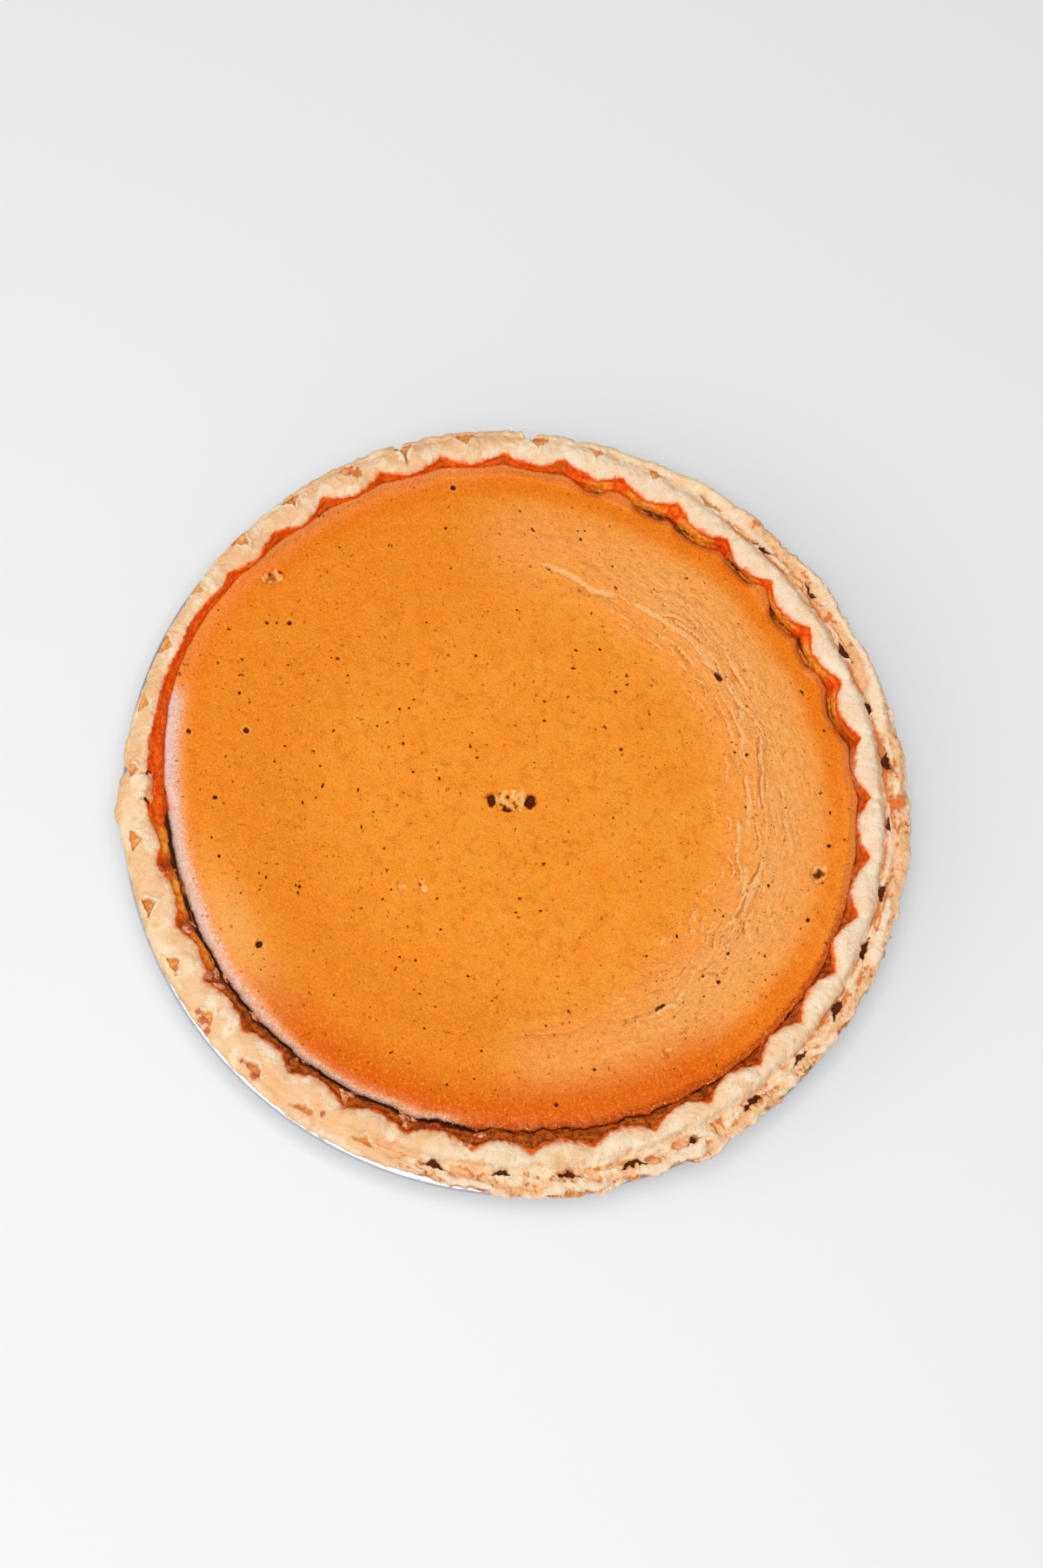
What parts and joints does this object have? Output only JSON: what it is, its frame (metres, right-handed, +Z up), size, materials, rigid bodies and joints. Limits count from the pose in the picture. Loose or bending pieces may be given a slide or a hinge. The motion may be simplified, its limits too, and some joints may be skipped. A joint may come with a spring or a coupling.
{
  "type": "pumpkin pie",
  "caption": "Whole round pumpkin pie with a smooth set filling and a stamped, crimped pastry rim, baked in its foil tin.",
  "frame": {"origin": "on the ground, under the middle of the tin's base", "axes": "+Z up out of the pie; -Y towards the near side of the picture, +X to its right"},
  "size_m": [0.2469, 0.2454, 0.0403],
  "materials": {
    "foil": "thin bright pressed foil with fine pleats",
    "pastry": "pale baked pastry, dry and matt, browner in its marks and torn edges",
    "pumpkin_custard": "orange set custard, satin, with pores, fine cracks and wrinkles"
  },
  "bodies": {
    "root": {"pie_tin": "foil", "crust": "pastry", "filling": "pumpkin_custard"}
  },
  "joints": []
}
